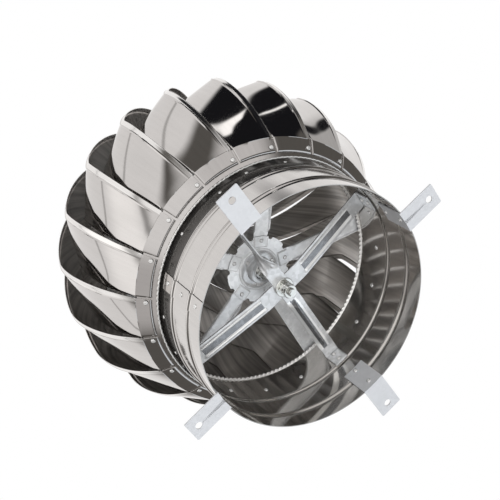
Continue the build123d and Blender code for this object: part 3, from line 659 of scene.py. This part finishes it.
across_steps = spread(0, 0.80, 20) + spread(0.82, 1, 26)
blade_rows = []
for r in spread(FOOT_INNER, LOW_R - 0.6, TAB_ROWS):
    half = HALF_PITCH * (1 - 0.5 / (r * radians(HALF_PITCH)))
    flat = (r + 0.32, 0, cone_z(r) - 0.39)
    blade_rows.append([turned_by(flat, half * (2 * t - 1)) for t in across_steps])
blade_rows += [[blade_point(s, t) for t in across_steps] for s in spread(0, 1, SCOOP_ROWS)]
for r in spread(TOP_R - 1.0, TOP_INNER, TAB_ROWS):
    half = r * tan(radians(HALF_PITCH)) - 0.5
    blade_rows.append([turned_by((r, -half + 2 * half * t, TOP_Z), BLADE_SWEEP) for t in across_steps])
for number in range(BLADES):
    azimuth = number * 360 / BLADES - BLADE_LAG
    rows = [[turned_by(point, azimuth) for point in row] for row in blade_rows]
    blade = grid(f"scoop_{number + 1:02d}", rows, blade_steel, thick=BLADE_SHEET, sharp=24)
    for finish in (blade_inside, hem_highlight_steel, blade_inside):
        blade.data.materials.append(finish)
    blade.modifiers["wall"].material_offset = 1
    # The hem's faces are a paler copy of the sheet: a painted highlight along the proud edge.
    for face in blade.data.polygons:
        row, column = divmod(face.index, len(across_steps) - 1)
        if across_steps[column] > HEM_START and TAB_ROWS <= row < SCOOP_ROWS + 4:
            face.material_index = 2
    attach(blade, "rotor")
    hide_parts(f"blade_{number + 1:02d}")
BLADE_RIVET, BLADE_RIVET_SIDE, BLADE_RIVET_DROP = 163.4, 20.5, 0.95
places = []
for number in range(BLADES):
    outward, fall = BLADE_RIVET_DROP * sin(SLOPE), BLADE_RIVET_DROP * cos(SLOPE)
    foot = placed(360 / BLADES * number - BLADE_LAG, BLADE_RIVET + outward, cone_z(BLADE_RIVET) - fall,
                  180 - CONE_SLOPE)
    places.append(foot @ Matrix.Translation((0, BLADE_RIVET_SIDE, 0)))
rivet_set("foot_rivet_row", "blade_foot_rivets", "rotor", places, 2.95)

# The cap is a shallow spun dome with a flat centre for the upper bearing cup. It closes
# the rotor's top and is riveted down through every blade's turned-in end.
CAP_FLAT, CAP_EDGE, CAP_FALL, CAP_RIM_Z, CAP_SHEET = 34, 88, 14, 352, 0.95
TOP_RIVET = 100


def cap_fall(r):
    """How far the dome has fallen from the flat centre at a radius."""
    t = (r - CAP_FLAT) / (CAP_EDGE - CAP_FLAT)
    return CAP_FALL * (0.55 * t + 0.45 * t * t)


dome_radii = spread(38, 84, 12)
cap_top = CAP_Z + 1
outline = [(0.001, cap_top), (CAP_FLAT, cap_top)]
outline += [(r, cap_top - cap_fall(r)) for r in dome_radii]
outline += [(CAP_EDGE, CAP_RIM_Z), (112.2, CAP_RIM_Z), (112.8, 351.8), (112.8, 351.2)]
outline += [(112.2, CAP_RIM_Z - CAP_SHEET), (88.3, CAP_RIM_Z - CAP_SHEET)]
outline += [(r, cap_top - CAP_SHEET - cap_fall(r)) for r in reversed(dome_radii)]
outline += [(CAP_FLAT, cap_top - CAP_SHEET), (0.001, cap_top - CAP_SHEET)]
dome = turned("spun_cap", outline, polished, steps=256)
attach(dome, "rotor")
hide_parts("cap")
places = []
for number in range(BLADES):
    azimuth = 360 / BLADES * number - BLADE_LAG + BLADE_SWEEP
    places.append(placed(azimuth, TOP_RIVET, CAP_RIM_Z, 0))
rivet_set("cap_rivet_row", "blade_top_rivets", "rotor", places, 2.3)

# A pale plain floor under the ventilator, which takes its shadow. Only the camera sees it,
# and only from above: from below it is clear, and it shows in no reflection.
FLOOR = 6.0
corners = [(-FLOOR, -FLOOR, 0), (FLOOR, -FLOOR, 0), (FLOOR, FLOOR, 0), (-FLOOR, FLOOR, 0)]
floor_mesh = bpy.data.meshes.new("floor")
floor_mesh.from_pydata(corners, [], [(0, 1, 2, 3)])
floor = bpy.data.objects.new("floor", floor_mesh)
bpy.context.collection.objects.link(floor)
paper = bpy.data.materials.new("paper")
paper.use_nodes = True
nodes, links = paper.node_tree.nodes, paper.node_tree.links
shader = nodes["Principled BSDF"]
shader.inputs["Base Color"].default_value = (0.93, 0.93, 0.93, 1)
shader.inputs["Roughness"].default_value = 0.9
side = nodes.new("ShaderNodeNewGeometry")
path = nodes.new("ShaderNodeLightPath")
front = nodes.new("ShaderNodeMath")
front.operation = "SUBTRACT"
front.inputs[0].default_value = 1.0
links.new(side.outputs["Backfacing"], front.inputs[1])
seen = nodes.new("ShaderNodeMath")
seen.operation = "MULTIPLY"
links.new(path.outputs["Is Camera Ray"], seen.inputs[0])
links.new(front.outputs["Value"], seen.inputs[1])
clear = nodes.new("ShaderNodeBsdfTransparent")
blend = nodes.new("ShaderNodeMixShader")
links.new(seen.outputs["Value"], blend.inputs["Fac"])
links.new(clear.outputs["BSDF"], blend.inputs[1])
links.new(shader.outputs["BSDF"], blend.inputs[2])
links.new(blend.outputs["Shader"], nodes["Material Output"].inputs["Surface"])
floor_mesh.materials.append(paper)
floor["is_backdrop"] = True

# The camera sees plain white all round. The metal mirrors another room, dim with bright,
# grey and black patches, which gives the polished sheet its hard-edged bands. The patches are
# fixed in the room, and were placed by the photograph's right, up and back until they matched.
world = bpy.data.worlds.new("studio")
bpy.context.scene.world = world
world.use_nodes = True
nodes, links = world.node_tree.nodes, world.node_tree.links
air = nodes["Background"]
place = nodes.new("ShaderNodeTexCoord")

SIDEWAYS = Vector((0.50809, -0.71379, -0.48202))
UPWARD = Vector((-0.64647, -0.68585, 0.33420))
BACKWARD = Vector((-0.56914, 0.14181, -0.80992))
DIM_ROOM = (0.13, 0.122, 0.112, 1)


def facing(spot, low, high):
    """How far a direction lies inside a spot of the room, easing in between two nearnesses."""
    right, up, back = spot
    near = nodes.new("ShaderNodeVectorMath")
    near.operation = "DOT_PRODUCT"
    near.inputs[1].default_value = (SIDEWAYS * right + UPWARD * up + BACKWARD * back).normalized()
    links.new(place.outputs["Generated"], near.inputs[0])
    edge = nodes.new("ShaderNodeMapRange")
    edge.interpolation_type = "SMOOTHSTEP"
    edge.inputs["From Min"].default_value = low
    edge.inputs["From Max"].default_value = high
    links.new(near.outputs["Value"], edge.inputs["Value"])
    return edge.outputs["Result"]


def patch(under, spot, size, blur, colour, across=None, width=0.0):
    """Lays a round patch of colour on the room, or a bar of it across a direction."""
    amount = facing(spot, cos(radians(size + blur)), cos(radians(max(0.0, size - blur))))
    if across:
        for side in (1, -1):
            cut = nodes.new("ShaderNodeMath")
            cut.operation = "MULTIPLY"
            edge = facing([side * part for part in across], sin(radians(width)), sin(radians(width - 1)))
            links.new(amount, cut.inputs[0])
            links.new(edge, cut.inputs[1])
            amount = cut.outputs["Value"]
    layer = nodes.new("ShaderNodeMixRGB")
    layer.inputs["Color1"].default_value = DIM_ROOM
    layer.inputs["Color2"].default_value = (*colour, 1)
    links.new(amount, layer.inputs["Fac"])
    if under:
        links.new(under, layer.inputs["Color1"])
    return layer.outputs["Color"]


WARM, COOL, GREY = (1.0, 0.985, 0.975), (0.90, 0.95, 1.0), (0.55, 0.54, 0.53)
BLACK, STRIP = (0.012, 0.012, 0.014), (1.7, 1.68, 1.65)
light = patch(None, (-0.80, 0.15, -0.55), 62, 5, WARM)
light = patch(light, (-0.97, -0.15, 0.15), 19, 8, (1.3, 1.28, 1.26))
light = patch(light, (-0.95, 0.0, -0.31), 60, 3, GREY, across=(-0.31, 0.0, 0.95), width=1.6)
light = patch(light, (0.35, 0.35, -0.85), 31, 4, WARM)
light = patch(light, (-0.30, 0.12, 0.94), 38, 7, WARM)
light = patch(light, (-0.42, -0.64, 0.65), 20, 9, (0.62, 0.60, 0.59))
light = patch(light, (0.22, 0.72, 0.66), 26, 8, (0.80, 0.78, 0.77))
light = patch(light, (0.78, -0.54, 0.31), 36, 6, COOL)
light = patch(light, (0.54, 0.575, -0.616), 13, 6, GREY)
light = patch(light, (0.05, 0.987, -0.156), 29, 2, BLACK)
light = patch(light, (-0.14, 0.97, -0.185), 12, 1, STRIP, across=(-0.950, -0.080, 0.302), width=2.0)
light = patch(light, (0.163, 0.922, -0.352), 9, 1, STRIP, across=(-0.950, 0.20, 0.1), width=1.0)
light = patch(light, (0.38, 0.67, -0.64), 3.5, 1, BLACK)
path = nodes.new("ShaderNodeLightPath")
view_mix = nodes.new("ShaderNodeMixRGB")
view_mix.inputs["Color2"].default_value = (1, 1, 1, 1)
links.new(path.outputs["Is Camera Ray"], view_mix.inputs["Fac"])
links.new(light, view_mix.inputs["Color1"])
links.new(view_mix.outputs["Color"], air.inputs["Color"])
air.inputs["Strength"].default_value = 1.0


AIM = Vector((0, 0, 0.18))


def panel(name, spot, size, power):
    """A soft square lamp aimed at the middle of the ventilator, and left out of reflections."""
    lamp = bpy.data.lights.new(name, "AREA")
    lamp.size = size
    lamp.energy = power
    lamp_object = bpy.data.objects.new(name, lamp)
    lamp_object.location = spot
    lamp_object.visible_glossy = False
    lamp_object.rotation_mode = "QUATERNION"
    lamp_object.rotation_quaternion = (AIM - Vector(spot)).to_track_quat("-Z", "Y")
    bpy.context.collection.objects.link(lamp_object)


panel("key", (-0.5, 0.1, -1.5), 1.2, 26)
panel("top", (-0.8, -1.0, 1.6), 1.6, 9)
panel("side", (1.2, 0.9, 0.9), 1.4, 5)

# The photograph's place: below the rim and to one side, rolled so that the throat opens
# toward the lower right.
camera = bpy.data.cameras.new("camera")
camera.sensor_width = 36.0
camera.lens = 78.9
camera.clip_start, camera.clip_end = 0.05, 30.0
camera_object = bpy.data.objects.new("camera", camera)
bpy.context.collection.objects.link(camera_object)
facing_photo = Matrix((SIDEWAYS, UPWARD, BACKWARD)).transposed().to_4x4()
camera_object.matrix_world = Matrix.Translation((-0.79913, 0.18549, -0.95872)) @ facing_photo
bpy.context.scene.camera = camera_object
bpy.context.scene.view_settings.view_transform = "Standard"

low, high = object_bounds()
